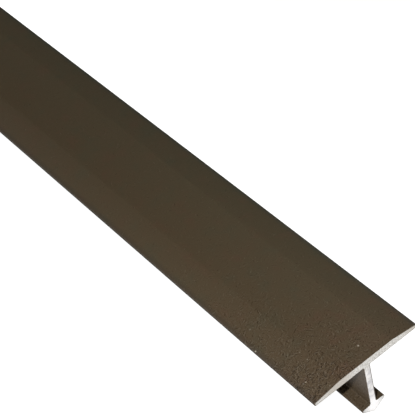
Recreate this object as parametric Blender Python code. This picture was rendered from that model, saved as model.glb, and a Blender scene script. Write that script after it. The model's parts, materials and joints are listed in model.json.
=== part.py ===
"""Aluminium tee section: a coated floor transition strip, one extruded length.

The section is drawn in its own plane, X across and Y up from the flange's
underside, and extruded along its Z, which becomes world X. The strip lies as
it would on a floor: on the long edge of one wing and on its foot.
"""

import math

import bpy
from mathutils import Matrix, Vector
from mathutils.geometry import convex_hull_2d

# Length of the strip, in metres like every size below
LENGTH = 0.9

# Flange: flat in the middle, with a sloping band along each side
FLANGE_WIDTH = 0.026
FLANGE_THICKNESS = 0.00195
FLANGE_EDGE_THICKNESS = 0.00095
BAND_WIDTH = 0.0064

# Web, which stands in the gap between two floor coverings
WEB_THICKNESS = 0.0016
WEB_HEIGHT = 0.0114

# Foot: two short arms over a shallow vee
FOOT_WIDTH = 0.0057
FOOT_ARM_FALL = 0.0002
FOOT_TIP_THICKNESS = 0.0007
FOOT_DEPTH = 0.0027

# Roundings of the section's corners
BAND_CREASE_RADIUS = 0.004
FLANGE_EDGE_RADIUS = 0.00025
WEB_FILLET_RADIUS = 0.0003
FOOT_TIP_RADIUS = 0.0003
FOOT_APEX_RADIUS = 0.0004
ARC_STEPS = 4

# Satin dark bronze coat, as values of the shader's inputs
COAT = {
    "Base Color": (0.084, 0.061, 0.037, 1.0),
    "Roughness": 0.45,
    "Metallic": 0.5,
}

OBJECT_NAME = "tee_section"


def clear_scene():
    """Remove the objects that a new file starts with."""
    for old in list(bpy.data.objects):
        bpy.data.objects.remove(old, do_unlink=True)


def half_section():
    """Corners of one half, top to apex, each with its rounding radius."""
    edge = FLANGE_WIDTH / 2
    web = WEB_THICKNESS / 2
    tip = FOOT_WIDTH / 2
    tip_top = -WEB_HEIGHT - FOOT_ARM_FALL
    return [
        (Vector((edge - BAND_WIDTH, FLANGE_THICKNESS)), BAND_CREASE_RADIUS),
        (Vector((edge, FLANGE_EDGE_THICKNESS)), FLANGE_EDGE_RADIUS),
        (Vector((edge, 0.0)), FLANGE_EDGE_RADIUS),
        (Vector((web, 0.0)), WEB_FILLET_RADIUS),
        (Vector((web, -WEB_HEIGHT)), WEB_FILLET_RADIUS),
        (Vector((tip, tip_top)), FOOT_TIP_RADIUS),
        (Vector((tip, tip_top - FOOT_TIP_THICKNESS)), FOOT_TIP_RADIUS),
    ]


def full_section():
    """Corners of the whole section, clockwise from the top."""
    half = half_section()
    apex = (Vector((0.0, -WEB_HEIGHT - FOOT_DEPTH)), FOOT_APEX_RADIUS)
    mirrored = [(Vector((-corner.x, corner.y)), radius) for corner, radius in reversed(half)]
    return half + [apex] + mirrored


def round_corner(before, corner, after, radius):
    """Points of the arc at one corner; a radius is limited by its two sides."""
    back = (before - corner).normalized()
    ahead = (after - corner).normalized()
    half_angle = back.angle(ahead) / 2
    shorter_side = min((before - corner).length, (after - corner).length)
    reach = min(radius / math.tan(half_angle), shorter_side * 0.49)
    fitted_radius = reach * math.tan(half_angle)
    centre = corner + (back + ahead).normalized() * (reach / math.cos(half_angle))
    start = (corner + back * reach - centre).normalized()
    end = (corner + ahead * reach - centre).normalized()
    return [centre + start.slerp(end, step / ARC_STEPS) * fitted_radius for step in range(ARC_STEPS + 1)]


def section_outline():
    """The section as one closed run of points, with its corners rounded."""
    corners = full_section()
    outline = []
    for index, (corner, radius) in enumerate(corners):
        before = corners[index - 1][0]
        after = corners[(index + 1) % len(corners)][0]
        outline += round_corner(before, corner, after, radius)
    return outline


def resting_tilt(outline):
    """Angle to the flange of the line that touches a wing's edge and the foot."""
    hull = [outline[index] for index in convex_hull_2d(outline)]
    sides = [end - start for start, end in zip(hull, hull[1:] + hull[:1]) if start.x + end.x > 0]
    under_sides = [side for side in sides if side.x * side.y > 0]
    floor_line = max(under_sides, key=lambda side: side.length)
    return math.atan2(abs(floor_line.y), abs(floor_line.x))


def resting_place(outline, turn):
    """Location that sets the turned section on Z = 0, centred on Y = 0."""
    turned = [turn @ Vector((0.0, point.x, point.y)) for point in outline]
    left = min(point.y for point in turned)
    right = max(point.y for point in turned)
    bottom = min(point.z for point in turned)
    return Vector((0.0, -(left + right) / 2, -bottom))


def coat_material():
    """Material of the coat, which covers all but the sawn ends."""
    material = bpy.data.materials.new("dark_bronze_coat")
    material.use_nodes = True
    shader = material.node_tree.nodes["Principled BSDF"]
    for name, value in COAT.items():
        shader.inputs[name].default_value = value
    return material


def extruded_curve(name, outline, length):
    """A filled outline, extruded to both sides of its own plane."""
    curve = bpy.data.curves.new(name, "CURVE")
    curve.dimensions = "2D"
    curve.fill_mode = "BOTH"
    curve.extrude = length / 2
    spline = curve.splines.new("POLY")
    spline.points.add(len(outline) - 1)
    for spline_point, point in zip(spline.points, outline):
        spline_point.co = (point.x, point.y, 0.0, 1.0)
    spline.use_cyclic_u = True
    return bpy.data.objects.new(name, curve)


def make_tee_section():
    """The strip, laid down along world X."""
    outline = section_outline()
    turn = Matrix.Rotation(-resting_tilt(outline), 3, "X")
    section_to_world = Matrix(((0, 0, 1), (1, 0, 0), (0, 1, 0)))
    tee = extruded_curve(OBJECT_NAME, outline, LENGTH)
    tee.data.materials.append(coat_material())
    tee.rotation_euler = (turn @ section_to_world).to_euler()
    tee.location = resting_place(outline, turn)
    return tee


def main():
    clear_scene()
    collection = bpy.data.collections.new(OBJECT_NAME)
    bpy.context.scene.collection.children.link(collection)
    collection.objects.link(make_tee_section())


main()
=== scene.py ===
"""Looks of the coated aluminium tee section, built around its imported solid."""

import json
import math

import bmesh
import bpy
from mathutils import Matrix, Vector


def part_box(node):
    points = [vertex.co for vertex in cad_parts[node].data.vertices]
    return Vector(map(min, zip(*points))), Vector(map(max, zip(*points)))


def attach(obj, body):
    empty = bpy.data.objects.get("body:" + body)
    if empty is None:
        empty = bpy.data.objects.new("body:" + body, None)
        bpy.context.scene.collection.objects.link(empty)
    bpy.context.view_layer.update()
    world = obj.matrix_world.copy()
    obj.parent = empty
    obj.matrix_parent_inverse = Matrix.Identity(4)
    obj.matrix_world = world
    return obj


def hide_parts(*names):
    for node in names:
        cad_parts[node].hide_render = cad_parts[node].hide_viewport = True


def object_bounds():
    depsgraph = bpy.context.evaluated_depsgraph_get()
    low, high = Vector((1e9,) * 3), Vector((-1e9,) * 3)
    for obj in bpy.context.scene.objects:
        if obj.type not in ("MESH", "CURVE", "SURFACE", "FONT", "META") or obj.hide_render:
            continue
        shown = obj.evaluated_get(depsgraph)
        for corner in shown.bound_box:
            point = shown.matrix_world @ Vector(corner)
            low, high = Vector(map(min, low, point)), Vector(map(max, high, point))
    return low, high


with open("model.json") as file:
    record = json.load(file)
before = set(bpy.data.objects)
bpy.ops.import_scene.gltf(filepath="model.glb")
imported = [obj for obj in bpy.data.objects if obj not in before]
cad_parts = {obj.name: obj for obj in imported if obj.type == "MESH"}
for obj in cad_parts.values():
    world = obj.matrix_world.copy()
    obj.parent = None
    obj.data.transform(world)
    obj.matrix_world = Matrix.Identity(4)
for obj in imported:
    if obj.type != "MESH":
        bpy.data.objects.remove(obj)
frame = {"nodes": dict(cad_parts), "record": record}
cad_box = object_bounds()

NODE = "tee_section"

# Sawn ends, in metres: a slight chamfer, then the coat's cut edge as a ring
DEBURR = 0.00006
COAT_EDGE_WIDTH = 0.00008
WELD_DISTANCE = 0.000001
FLAT_ANGLE = math.radians(0.5)
SMOOTH_ANGLE = math.radians(32)
END_FACING = 0.999

# Camera, in the section's own axes from the near end, in metres: along the
# strip, left across the flange, and up from the flange's underside
CAMERA_PLACE = (-0.14129, 0.09623, 0.21836)
CAMERA_FORWARD = (0.63446, -0.32582, -0.70093)
CAMERA_UP = (0.48046, -0.54411, 0.68783)
SENSOR_WIDTH = 36.0
FOCAL_LENGTH_IN_PIXELS = 1452.7
IMAGE_PIXELS = 415
CLIP_START = 0.01
CLIP_END = 500.0

# Lamps: name, place, aim, side, power in watts, and whether gloss mirrors it.
# Place and aim are in metres from the near end, along the world's axes
LAMPS = (
    ("key", (-0.0742, 0.17, 0.0255), (0.0, 0.0, 0.0), 0.006, 0.27, True),
    ("front_soft", (-0.35, -0.03, 0.04), (0.0, 0.0, 0.0), 0.08, 0.45, True),
    ("far_soft", (0.65, 0.5, 0.25), (0.65, 0.0, 0.0), 0.3, 2.0, False),
    ("far_end_soft", (1.25, 0.1, 0.15), (0.9, 0.0, 0.0), 0.1, 1.1, False),
    ("back_soft", (0.45, -0.9, 0.2), (0.45, 0.0, 0.0), 0.5, 9.5, False),
)
AMBIENT = 0.075
AMBIENT_COLOUR = (1.02, 1.0, 0.92, 1.0)

# Studio cove: a floor with a low wall far off, both pale, in metres
FLOOR_DROP = 0.00005
COVE_RADIUS = 60.0
COVE_WALL_HEIGHT = 14.0
COVE_SIDES = 64
COVE_COLOUR = (0.5, 0.5, 0.5, 1.0)

# Glow of the cove: a little weaker close along the strip, where its shadow
# lies, and full beyond; lengths along the strip count for a tenth
COVE_LIFT = 0.9
COVE_LIFT_AWAY = 1.0
COVE_LIFT_SPAN = (0.015, 0.05)
COVE_LIFT_SHARES = (0.1, 1.0, 0.0)
OPEN_AIR_REACH = 0.003
OPEN_AIR_SAMPLES = 8

# A span is where a change starts and where it ends: on the strip in metres of
# the section's axes, on a noise in its own values. Scales are per metre
NOISE_ROUGHNESS = 0.55

# Coat: close tones in soft blotches, under a thin lacquer
COAT = (0.0905, 0.0652, 0.0362, 1.0)
COAT_REDDISH = (0.098, 0.0635, 0.0362, 1.0)
COAT_GREENISH = (0.0835, 0.0658, 0.0375, 1.0)
BLOTCH_SCALE = 220.0
BLOTCH_DETAIL = 3.0
GREENISH_SPAN = (0.3, 0.45)
REDDISH_SPAN = (0.55, 0.7)
COAT_ROUGHNESS_SPAN = (0.3, 0.7)
COAT_ROUGHNESS = (0.56, 0.46)
COAT_SPECULAR = 0.2
LACQUER = 0.22
LACQUER_ROUGHNESS = 0.38

# Tints of the coat, as shares added to its red, green and blue
END_TINT = (0.06, 0.0, 0.04)
END_REACH = 0.019
# The right band lighter and cooler: painted sheen, a painted reflection of the pale surroundings
RIGHT_PAINTED_SHEEN = (0.02, 0.12, 0.18)
RIGHT_PAINTED_SHEEN_SPAN = (0.006, -0.012)
# Both long edges darker, the right one cooler: painted shade where the rounded edges turn from the
# light
LEFT_EDGE_PAINTED_SHADE = (-0.21, -0.17, -0.08)
LEFT_EDGE_PAINTED_SHADE_SPAN = (0.0117, 0.0127)
RIGHT_EDGE_PAINTED_SHADE = (-0.26, -0.14, 0.08)
RIGHT_EDGE_PAINTED_SHADE_SPAN = (-0.0117, -0.0127)

# Grain of the coat: broken strokes of painted shade and painted highlight, thickest at the sawn
# ends and the left edge
GRAIN_SCALE = 1200.0
GRAIN_DETAIL = 2.0
GRAIN_ROUGHNESS = 0.6
GRAIN_DISTORTION = 1.5
GRAIN_REACH = 0.011
GRAIN_ACROSS = 0.0075
GRAIN_AWAY = 0.12
PATCH_SCALE = 260.0
PATCH_DETAIL = 2.0
PATCH_SPAN = (0.4, 0.65)
PATCH_STRENGTHS = (0.66, 1.54)

# Strokes of painted shade and painted highlight come from the step in the grain's
# noise to a place just beside, in metres, which leans one of two ways
GRAIN_LEAN = (0.00016, -0.00012, 0.0)
GRAIN_LEAN_TURNED = (0.00012, 0.00017, 0.0)
GRAIN_TURN_SCALE = 700.0
GRAIN_TURN_DETAIL = 1.0
GRAIN_TURN_SPAN = (0.42, 0.58)
GRAIN_GAIN = 5.3
GRAIN_FLOOR = 0.09
GRAIN_DEPTH = 0.8
# Colours of the strokes' painted shade and painted highlight; the light one also colours the
# flecks
GRAIN_PAINTED_SHADE = (0.03, 0.017, 0.006, 1.0)
GRAIN_PAINTED_SHADE_MOST = 0.9
FLECK_AND_PAINTED_HIGHLIGHT = (1.0, 0.92, 0.75, 1.0)
GRAIN_PAINTED_HIGHLIGHT_MOST = 0.055
GRAIN_HEIGHT = 0.00008
GRAIN_SPREAD = 4.0

# Flecks: rare bright specks among the grain, painted as glints, few of them at full strength
FLECK_SCALE = 1700.0
FLECK_SHARE = 0.011
FLECK_FEWNESS = 3.0
FLECK_SPAN = (0.15, 0.4)

# Bare metal of the flange's end: darker and gritty, with two stains; darker partly as painted
# shade
GRIT_SCALE = 2600.0
GRIT_DETAIL = 3.0
GRIT_SPAN = (0.35, 0.6)
GRIT_HEIGHT = 0.00002
FLANGE_METAL_DARK = (0.47, 0.45, 0.41, 1.0)
FLANGE_METAL_LIGHT = (0.70, 0.685, 0.655, 1.0)
STAIN_COLOUR = (0.48, 0.435, 0.375, 1.0)
LEFT_STAIN_PLACE = 0.0072
LEFT_STAIN_SPAN = (0.0015, 0.0045)
LEFT_STAIN = 0.7
RIGHT_STAIN_SPAN = (-0.0088, -0.0125)
RIGHT_STAIN = 0.9
BARE_ROUGHNESS = 0.5
BARE_METALLIC = 0.6

# Bare metal of the web's and foot's end: lighter, with painted light brightest down the foot, and
# the foot's arms duller
CLOUD_SCALE = 500.0
CLOUD_DETAIL = 2.0
CLOUD_SPAN = (0.42, 0.58)
WEB_METAL_DARK = (0.59, 0.58, 0.59, 1.0)
WEB_METAL_LIGHT = (0.82, 0.80, 0.785, 1.0)
WEB_SPAN = (-0.0004, -0.0018)
FOOT_PAINTED_LIGHT_SPAN = (-0.0085, -0.0112)
FOOT_PAINTED_LIGHT = (0.97, 0.955, 0.95, 1.0)
ARM_SPAN = (0.0008, 0.0024)
ARM_AMOUNT = 0.8
ARM_COLOUR = (0.58, 0.57, 0.55, 1.0)

# A dark line in the coat's colour along the right edge of the web's end
WEB_EDGE_LINE_SPAN = (-0.00055, -0.00068)
WEB_EDGE_LINE_TOP_SPAN = (-0.0002, -0.0004)
WEB_EDGE_LINE_FOOT_SPAN = (-0.0112, -0.0115)
WEB_EDGE_LINE_AMOUNT = 0.85

# Sockets of the mix node, by what it mixes: both ends, then the output
MIX_SOCKETS = {"RGBA": (6, 7, 2), "VECTOR": (4, 5, 1)}


def section_placement():
    """The section's own axes in the world: along, left across the flange, and up."""
    mounts = {item["name"]: item for item in frame["record"]["mounts"]}
    left = Vector(mounts["left_wing_underside"]["pos_m"])
    right = Vector(mounts["right_wing_underside"]["pos_m"])
    along = Vector((1.0, 0.0, 0.0))
    up = -Vector(mounts["left_wing_underside"]["axis"]).normalized()
    across = up.cross(along)
    middle = (left + right) / 2
    axes = Matrix((along, across, up)).transposed()
    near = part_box(NODE)[0].x
    return Matrix.Translation((near, middle.y, middle.z)) @ axes.to_4x4()


SECTION = section_placement()


def add_camera():
    """Camera at the photograph's place, looking down on the sawn end."""
    data = bpy.data.cameras.new("camera")
    data.sensor_width = SENSOR_WIDTH
    data.lens = FOCAL_LENGTH_IN_PIXELS * SENSOR_WIDTH / IMAGE_PIXELS
    data.clip_start = CLIP_START
    data.clip_end = CLIP_END
    camera = bpy.data.objects.new("camera", data)
    back = -Vector(CAMERA_FORWARD).normalized()
    right = Vector(CAMERA_UP).cross(back).normalized()
    turn = Matrix((right, back.cross(right), back)).transposed().to_4x4()
    camera.matrix_world = SECTION @ Matrix.Translation(CAMERA_PLACE) @ turn
    bpy.context.scene.collection.objects.link(camera)
    bpy.context.scene.camera = camera


def add_lamp(name, place, aim, side, power, mirrored):
    """Soft square lamp."""
    data = bpy.data.lights.new(name, "AREA")
    data.shape = "SQUARE"
    data.size = side
    data.energy = power
    lamp = bpy.data.objects.new(name, data)
    lamp.location = SECTION.translation + Vector(place)
    lamp.rotation_euler = (Vector(aim) - Vector(place)).to_track_quat("-Z", "Y").to_euler()
    lamp.visible_glossy = mirrored
    bpy.context.scene.collection.objects.link(lamp)


def add_world():
    """Faint even light from all round."""
    world = bpy.data.worlds.new("studio")
    world.use_nodes = True
    background = world.node_tree.nodes["Background"]
    background.inputs["Color"].default_value = AMBIENT_COLOUR
    background.inputs["Strength"].default_value = AMBIENT
    bpy.context.scene.world = world


def add_node(tree, kind, settings=None, inputs=None):
    """A shader node; an input is a plain value or another node's socket."""
    node = tree.nodes.new(kind)
    for name, value in (settings or {}).items():
        setattr(node, name, value)
    for name, value in (inputs or {}).items():
        if isinstance(value, bpy.types.NodeSocket):
            tree.links.new(value, node.inputs[name])
        else:
            node.inputs[name].default_value = value
    return node


def add_math(tree, operation, first, second=0.0, third=0.0):
    """Result of a sum on numbers."""
    inputs = {0: first, 1: second, 2: third}
    return add_node(tree, "ShaderNodeMath", {"operation": operation}, inputs).outputs[0]


def add_vector_math(tree, operation, first, second, third=(0.0, 0.0, 0.0)):
    """Result of a sum on places or colours."""
    inputs = {0: first, 1: second, 2: third}
    return add_node(tree, "ShaderNodeVectorMath", {"operation": operation}, inputs).outputs[0]


def add_mix(tree, factor, first, second, kind="RGBA"):
    """Colour, or vector, between two others."""
    start, end, result = MIX_SOCKETS[kind]
    inputs = {0: factor, start: first, end: second}
    return add_node(tree, "ShaderNodeMix", {"data_type": kind}, inputs).outputs[result]


def add_noise(tree, place, scale, detail):
    """Soft noise about 0.5."""
    inputs = {"Vector": place, "Scale": scale, "Detail": detail, "Roughness": NOISE_ROUGHNESS}
    return add_node(tree, "ShaderNodeTexNoise", inputs=inputs).outputs["Fac"]


def add_range(tree, value, span, low=0.0, high=1.0):
    """Value carried from its span to low..high, and held beyond both ends."""
    start, end = span
    inputs = {"Value": value, "From Min": start, "From Max": end, "To Min": low, "To Max": high}
    return add_node(tree, "ShaderNodeMapRange", {"clamp": True}, inputs).outputs["Result"]


def new_material(name):
    """Material with its node tree and its shader."""
    material = bpy.data.materials.new(name)
    material.use_nodes = True
    return material, material.node_tree, material.node_tree.nodes["Principled BSDF"]


def section_place(tree):
    """Point on the strip in the section's own axes from the near end, whole and as X, Y, Z."""
    turn = SECTION.inverted()
    world = add_node(tree, "ShaderNodeTexCoord").outputs["Object"]
    inputs = {"Vector": world, "Location": turn.translation, "Rotation": turn.to_euler()}
    place = add_node(tree, "ShaderNodeMapping", inputs=inputs).outputs["Vector"]
    axes = add_node(tree, "ShaderNodeSeparateXYZ", inputs={"Vector": place}).outputs
    return place, axes


def end_closeness(tree, along, reach):
    """1 at a sawn end, falling off along the strip."""
    near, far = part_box(NODE)
    middle = (far.x - near.x) / 2
    from_middle = add_math(tree, "ABSOLUTE", add_math(tree, "SUBTRACT", along, middle))
    from_end = add_math(tree, "SUBTRACT", middle, from_middle)
    return add_math(tree, "EXPONENT", add_math(tree, "DIVIDE", from_end, -reach))


def add_cove_sight(tree):
    """1 for camera rays, and for glossy and transmission rays where the floor lies open."""
    path = add_node(tree, "ShaderNodeLightPath").outputs
    settings = {"samples": OPEN_AIR_SAMPLES}
    open_air = add_node(tree, "ShaderNodeAmbientOcclusion", settings, {"Distance": OPEN_AIR_REACH})
    mirrored = add_math(tree, "MAXIMUM", path["Is Glossy Ray"], path["Is Transmission Ray"])
    mirrored = add_math(tree, "MULTIPLY", mirrored, open_air.outputs["AO"])
    return add_math(tree, "MAXIMUM", path["Is Camera Ray"], mirrored)


def add_cove_lift(tree):
    """Strength of the cove's glow by the distance from the strip."""
    place = add_node(tree, "ShaderNodeTexCoord").outputs["Object"]
    flat = add_vector_math(tree, "MULTIPLY", place, COVE_LIFT_SHARES)
    length = add_node(tree, "ShaderNodeVectorMath", {"operation": "LENGTH"}, {0: flat})
    away = length.outputs["Value"]
    return add_range(tree, away, COVE_LIFT_SPAN, COVE_LIFT, COVE_LIFT_AWAY)


def cove_material():
    """Matt and pale; lifted to white only for the rays that look at it, with the shadow kept."""
    material = bpy.data.materials.new("pale_cove")
    material.use_nodes = True
    tree = material.node_tree
    tree.nodes.clear()
    strength = add_math(tree, "MULTIPLY", add_cove_sight(tree), add_cove_lift(tree))
    matt = add_node(tree, "ShaderNodeBsdfDiffuse", inputs={"Color": COVE_COLOUR})
    glow = add_node(tree, "ShaderNodeEmission", inputs={"Strength": strength})
    both = add_node(tree, "ShaderNodeAddShader", inputs={0: matt.outputs[0], 1: glow.outputs[0]})
    add_node(tree, "ShaderNodeOutputMaterial", inputs={"Surface": both.outputs[0]})
    return material


def add_cove():
    """Round floor just under the strip, with an upright wall at its rim."""
    bm = bmesh.new()
    bmesh.ops.create_circle(bm, cap_ends=True, segments=COVE_SIDES, radius=COVE_RADIUS)
    wall = bmesh.ops.extrude_edge_only(bm, edges=bm.edges[:])["geom"]
    risen = [item for item in wall if isinstance(item, bmesh.types.BMVert)]
    bmesh.ops.translate(bm, vec=(0.0, 0.0, COVE_WALL_HEIGHT), verts=risen)
    mesh = bpy.data.meshes.new("studio_cove")
    bm.to_mesh(mesh)
    bm.free()
    mesh.materials.append(cove_material())
    cove = bpy.data.objects.new("studio_cove", mesh)
    cove.location.z = cad_box[0].z - FLOOR_DROP
    bpy.context.scene.collection.objects.link(cove)


def add_blotches(tree, blotch):
    """The coat's colour, drifting between its greenish and reddish tones."""
    colour = add_mix(tree, add_range(tree, blotch, GREENISH_SPAN), COAT_GREENISH, COAT)
    return add_mix(tree, add_range(tree, blotch, REDDISH_SPAN), colour, COAT_REDDISH)


def add_tints(tree, axes, colour):
    """Colour with the tints of the ends, the right side's painted sheen and the painted shade of
    both long edges.
    """
    tints = (
        (END_TINT, end_closeness(tree, axes["X"], END_REACH)),
        (RIGHT_PAINTED_SHEEN, add_range(tree, axes["Y"], RIGHT_PAINTED_SHEEN_SPAN)),
        (LEFT_EDGE_PAINTED_SHADE, add_range(tree, axes["Y"], LEFT_EDGE_PAINTED_SHADE_SPAN)),
        (RIGHT_EDGE_PAINTED_SHADE, add_range(tree, axes["Y"], RIGHT_EDGE_PAINTED_SHADE_SPAN)),
    )
    shares = (0.0, 0.0, 0.0)
    for tint, amount in tints:
        shares = add_vector_math(tree, "MULTIPLY_ADD", tint, amount, shares)
    return add_vector_math(tree, "MULTIPLY_ADD", colour, shares, colour)


def add_crowding(tree, place, axes):
    """How thick the grain lies: most at the sawn ends and towards the left, in patches."""
    leftwards = add_math(tree, "EXPONENT", add_math(tree, "DIVIDE", axes["Y"], GRAIN_ACROSS))
    patches = add_noise(tree, place, PATCH_SCALE, PATCH_DETAIL)
    patches = add_range(tree, patches, PATCH_SPAN, *PATCH_STRENGTHS)
    crowding = end_closeness(tree, axes["X"], GRAIN_REACH)
    crowding = add_math(tree, "MULTIPLY", crowding, leftwards)
    return add_math(tree, "MULTIPLY", crowding, patches)


def add_grain(tree, place):
    """Broken noise that the grain is made from."""
    inputs = {
        "Vector": place,
        "Scale": GRAIN_SCALE,
        "Detail": GRAIN_DETAIL,
        "Roughness": GRAIN_ROUGHNESS,
        "Distortion": GRAIN_DISTORTION,
    }
    return add_node(tree, "ShaderNodeTexNoise", inputs=inputs).outputs["Fac"]


def add_place_beside(tree, place):
    """Place just beside, leaning one of two ways in soft patches."""
    turning = add_noise(tree, place, GRAIN_TURN_SCALE, GRAIN_TURN_DETAIL)
    turning = add_range(tree, turning, GRAIN_TURN_SPAN)
    lean = add_mix(tree, turning, GRAIN_LEAN, GRAIN_LEAN_TURNED, "VECTOR")
    return add_vector_math(tree, "ADD", place, lean)


def add_painted_grain_shading(tree, slope, strength, colour):
    """Colour with the grain's strokes: painted shade where it falls and painted highlight where it
    rises, as on a relief lit from one side.
    """
    slope = add_math(tree, "MULTIPLY", slope, GRAIN_GAIN)
    steepness = add_math(tree, "MULTIPLY_ADD", slope, slope, GRAIN_FLOOR)
    shade = add_math(tree, "MULTIPLY", slope, steepness)
    shade = add_math(tree, "MULTIPLY", shade, strength)
    dark = add_range(tree, shade, (-GRAIN_DEPTH, 0.0), GRAIN_PAINTED_SHADE_MOST, 0.0)
    light = add_range(tree, shade, (0.0, GRAIN_DEPTH), 0.0, GRAIN_PAINTED_HIGHLIGHT_MOST)
    colour = add_mix(tree, dark, colour, GRAIN_PAINTED_SHADE)
    return add_mix(tree, light, colour, FLECK_AND_PAINTED_HIGHLIGHT)


def add_grain_relief(tree, grain, strength):
    """Bump of the grain: nearly flat, with few peaks and pits that stand out."""
    around = add_math(tree, "MULTIPLY_ADD", grain, GRAIN_SPREAD, -GRAIN_SPREAD / 2)
    sparse = add_math(tree, "MULTIPLY", around, add_math(tree, "MULTIPLY", around, around))
    rise = add_math(tree, "MULTIPLY", sparse, strength)
    bump = add_node(tree, "ShaderNodeBump", inputs={"Height": rise, "Distance": GRAIN_HEIGHT})
    return bump.outputs[0]


def add_flecks(tree, place, crowding, colour):
    """Colour with the flecks, bright specks painted as glints: most where the grain crowds."""
    cells = add_node(tree, "ShaderNodeTexVoronoi", inputs={"Vector": place, "Scale": FLECK_SCALE})
    cells = cells.outputs
    chance = add_node(tree, "ShaderNodeSeparateColor", inputs={"Color": cells["Color"]}).outputs
    share = add_math(tree, "MULTIPLY", crowding, FLECK_SHARE)
    chosen = add_math(tree, "LESS_THAN", chance[0], share)
    chosen = add_math(tree, "MULTIPLY", chosen, add_math(tree, "POWER", chance[1], FLECK_FEWNESS))
    spot = add_range(tree, cells["Distance"], FLECK_SPAN, 1.0, 0.0)
    return add_mix(tree, add_math(tree, "MULTIPLY", chosen, spot), colour, FLECK_AND_PAINTED_HIGHLIGHT)


def coat_material():
    """Satin dark bronze coat: smooth, with a broken grain drawn as painted shade and painted
    highlight, and rare bright flecks painted as glints.
    """
    material, tree, shader = new_material("dark_bronze_coat")
    place, axes = section_place(tree)
    crowding = add_crowding(tree, place, axes)
    strength = add_math(tree, "ADD", crowding, GRAIN_AWAY)
    grain = add_grain(tree, place)
    beside = add_grain(tree, add_place_beside(tree, place))
    slope = add_math(tree, "SUBTRACT", grain, beside)
    blotch = add_noise(tree, place, BLOTCH_SCALE, BLOTCH_DETAIL)
    colour = add_tints(tree, axes, add_blotches(tree, blotch))
    colour = add_painted_grain_shading(tree, slope, strength, colour)
    colour = add_flecks(tree, place, crowding, colour)
    roughness = add_range(tree, blotch, COAT_ROUGHNESS_SPAN, *COAT_ROUGHNESS)
    tree.links.new(colour, shader.inputs["Base Color"])
    tree.links.new(roughness, shader.inputs["Roughness"])
    tree.links.new(add_grain_relief(tree, grain, strength), shader.inputs["Normal"])
    shader.inputs["Specular IOR Level"].default_value = COAT_SPECULAR
    shader.inputs["Coat Weight"].default_value = LACQUER
    shader.inputs["Coat Roughness"].default_value = LACQUER_ROUGHNESS
    return material


def add_flange_metal(tree, axes, grit):
    """Darker, gritty metal, stained about the left wing's middle and at the right edge; darker
    partly as painted shade.
    """
    colour = add_mix(tree, add_range(tree, grit, GRIT_SPAN), FLANGE_METAL_DARK, FLANGE_METAL_LIGHT)
    left = add_math(tree, "SUBTRACT", axes["Y"], LEFT_STAIN_PLACE)
    left = add_range(tree, add_math(tree, "ABSOLUTE", left), LEFT_STAIN_SPAN, LEFT_STAIN, 0.0)
    right = add_range(tree, axes["Y"], RIGHT_STAIN_SPAN, 0.0, RIGHT_STAIN)
    return add_mix(tree, add_math(tree, "MAXIMUM", left, right), colour, STAIN_COLOUR)


def add_web_metal(tree, place, axes):
    """Lighter metal in soft clouds, with painted light brightest down the foot's middle."""
    cloud = add_noise(tree, place, CLOUD_SCALE, CLOUD_DETAIL)
    colour = add_mix(tree, add_range(tree, cloud, CLOUD_SPAN), WEB_METAL_DARK, WEB_METAL_LIGHT)
    colour = add_mix(tree, add_range(tree, axes["Z"], FOOT_PAINTED_LIGHT_SPAN), colour, FOOT_PAINTED_LIGHT)
    aside = add_math(tree, "ABSOLUTE", axes["Y"])
    return add_mix(tree, add_range(tree, aside, ARM_SPAN, 0.0, ARM_AMOUNT), colour, ARM_COLOUR)


def add_web_edge_line(tree, axes):
    """Share of the dark line in the coat's colour: on the web's right edge, from the flange down
    to the foot.
    """
    edge_line = add_range(tree, axes["Y"], WEB_EDGE_LINE_SPAN)
    under_flange = add_range(tree, axes["Z"], WEB_EDGE_LINE_TOP_SPAN, 0.0, WEB_EDGE_LINE_AMOUNT)
    above_foot = add_range(tree, axes["Z"], WEB_EDGE_LINE_FOOT_SPAN, 1.0, 0.0)
    edge_line = add_math(tree, "MULTIPLY", edge_line, under_flange)
    return add_math(tree, "MULTIPLY", edge_line, above_foot)


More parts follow.
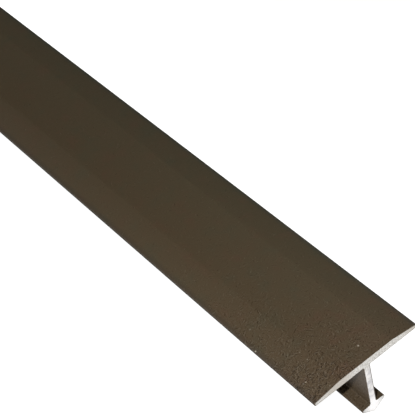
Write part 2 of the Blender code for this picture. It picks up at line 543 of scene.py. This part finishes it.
def bare_material():
    """Bare aluminium as the saw left it, with painted light brightening it from the flange down to
    the foot.
    """
    material, tree, shader = new_material("bare_sawn_aluminium")
    place, axes = section_place(tree)
    grit = add_noise(tree, place, GRIT_SCALE, GRIT_DETAIL)
    flange = add_flange_metal(tree, axes, grit)
    web = add_web_metal(tree, place, axes)
    colour = add_mix(tree, add_range(tree, axes["Z"], WEB_SPAN), flange, web)
    colour = add_mix(tree, add_web_edge_line(tree, axes), colour, COAT)
    relief = add_node(tree, "ShaderNodeBump", inputs={"Height": grit, "Distance": GRIT_HEIGHT})
    tree.links.new(colour, shader.inputs["Base Color"])
    tree.links.new(relief.outputs[0], shader.inputs["Normal"])
    shader.inputs["Roughness"].default_value = BARE_ROUGHNESS
    shader.inputs["Metallic"].default_value = BARE_METALLIC
    return material


def is_end(face):
    """Whether a face is one of the sawn ends."""
    return abs(face.normal.x) > END_FACING


def make_tee():
    """The strip with chamfered sawn ends, each ringed by the coat's cut edge."""
    bm = bmesh.new()
    bm.from_mesh(frame["nodes"][NODE].data)
    bmesh.ops.remove_doubles(bm, verts=bm.verts, dist=WELD_DISTANCE)
    bmesh.ops.dissolve_limit(bm, angle_limit=FLAT_ANGLE, verts=bm.verts, edges=bm.edges)
    rims = [edge for face in bm.faces if is_end(face) for edge in face.edges]
    bmesh.ops.bevel(bm, geom=rims, offset=DEBURR, segments=1, affect="EDGES", clamp_overlap=True)
    for end in [face for face in bm.faces if is_end(face)]:
        bmesh.ops.inset_region(bm, faces=[end], thickness=COAT_EDGE_WIDTH, use_even_offset=True)
        end.material_index = 1
    mesh = bpy.data.meshes.new("coated_tee_section")
    bm.to_mesh(mesh)
    bm.free()
    mesh.shade_smooth()
    mesh.set_sharp_from_angle(angle=SMOOTH_ANGLE)
    mesh.materials.append(coat_material())
    mesh.materials.append(bare_material())
    tee = bpy.data.objects.new("coated_tee_section", mesh)
    bpy.context.scene.collection.objects.link(tee)
    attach(tee, "root")
    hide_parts(NODE)


bpy.context.scene.view_settings.view_transform = "Standard"
add_camera()
add_world()
for lamp in LAMPS:
    add_lamp(*lamp)
add_cove()
make_tee()
